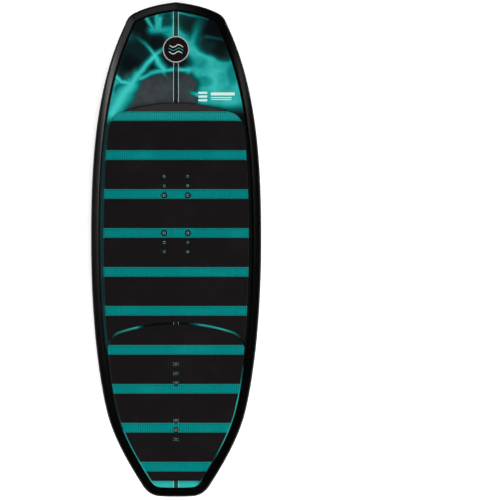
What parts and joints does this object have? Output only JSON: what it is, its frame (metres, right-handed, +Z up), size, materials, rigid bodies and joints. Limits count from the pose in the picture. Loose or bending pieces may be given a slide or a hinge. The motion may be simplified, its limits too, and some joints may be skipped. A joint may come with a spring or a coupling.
{
  "type": "wakeboard",
  "caption": "Short wide foil-style wakeboard: striped foam deck pads, threaded strap inserts, bevelled black rail, and two slotted foil tracks in a flat base with sliding nuts.",
  "frame": {"origin": "middle of the board's length and width, on the plane its flat base rests on", "axes": "+Y to the nose, +X to the right seen from above with the nose forward, +Z up out of the deck"},
  "size_m": [0.46, 1.334, 0.065],
  "materials": {
    "core_foam": "white expanded foam",
    "stringer_wood": "plain pale plywood",
    "hard_foam": "high-density foam",
    "deck_print": "gloss laminate, teal and black marbled print",
    "base_print": "gloss laminate, black and dark grey marbled print",
    "rail": "black, satin to gloss",
    "track_nylon": "dark grey glass-filled nylon",
    "nut_steel": "dark passivated steel",
    "insert_nylon": "black nylon",
    "bush_steel": "stainless steel",
    "pad_teal": "teal closed-cell foam, ribbed",
    "pad_black": "black closed-cell foam, fine grain",
    "badge": "black domed badge with a silver ring",
    "label": "white sticker with an orange header"
  },
  "bodies": {
    "board": {"core_left": "core_foam", "core_right": "core_foam", "centre_stringer": "stringer_wood", "foil_block": "hard_foam", "front_insert_blocks": "hard_foam", "rear_insert_blocks": "hard_foam", "deck_skin": "deck_print", "base_skin": "base_print", "rail_band": "rail", "foil_track_left": "track_nylon", "foil_track_right": "track_nylon", "front_insert_housings": "insert_nylon", "rear_insert_housings": "insert_nylon", "front_insert_bushes": "bush_steel", "rear_insert_bushes": "bush_steel", "front_pad_sheet": "pad_teal", "tail_pad_sheet": "pad_teal", "front_pad_band_1": "pad_black", "front_pad_band_2": "pad_black", "front_pad_band_3": "pad_black", "front_pad_band_4": "pad_black", "front_pad_band_5": "pad_black", "front_pad_band_6": "pad_black", "front_pad_band_7": "pad_black", "tail_pad_band_1": "pad_black", "tail_pad_band_2": "pad_black", "tail_pad_band_3": "pad_black", "tail_pad_band_4": "pad_black", "tail_pad_band_5": "pad_black", "deck_badge": "badge", "base_label": "label"},
    "nut_left_front": {"track_nut_left_front": "nut_steel"},
    "nut_left_rear": {"track_nut_left_rear": "nut_steel"},
    "nut_right_front": {"track_nut_right_front": "nut_steel"},
    "nut_right_rear": {"track_nut_right_rear": "nut_steel"}
  },
  "joints": [
    {"name": "nut_left_front_slide", "type": "slide", "parent": "board", "child": "nut_left_front", "axis": [0, 1, 0], "range_m": [-0.07, 0.037]},
    {"name": "nut_left_rear_slide", "type": "slide", "parent": "board", "child": "nut_left_rear", "axis": [0, 1, 0], "range_m": [-0.037, 0.07]},
    {"name": "nut_right_front_slide", "type": "slide", "parent": "board", "child": "nut_right_front", "axis": [0, 1, 0], "range_m": [-0.07, 0.037]},
    {"name": "nut_right_rear_slide", "type": "slide", "parent": "board", "child": "nut_right_rear", "axis": [0, 1, 0], "range_m": [-0.037, 0.07]}
  ]
}
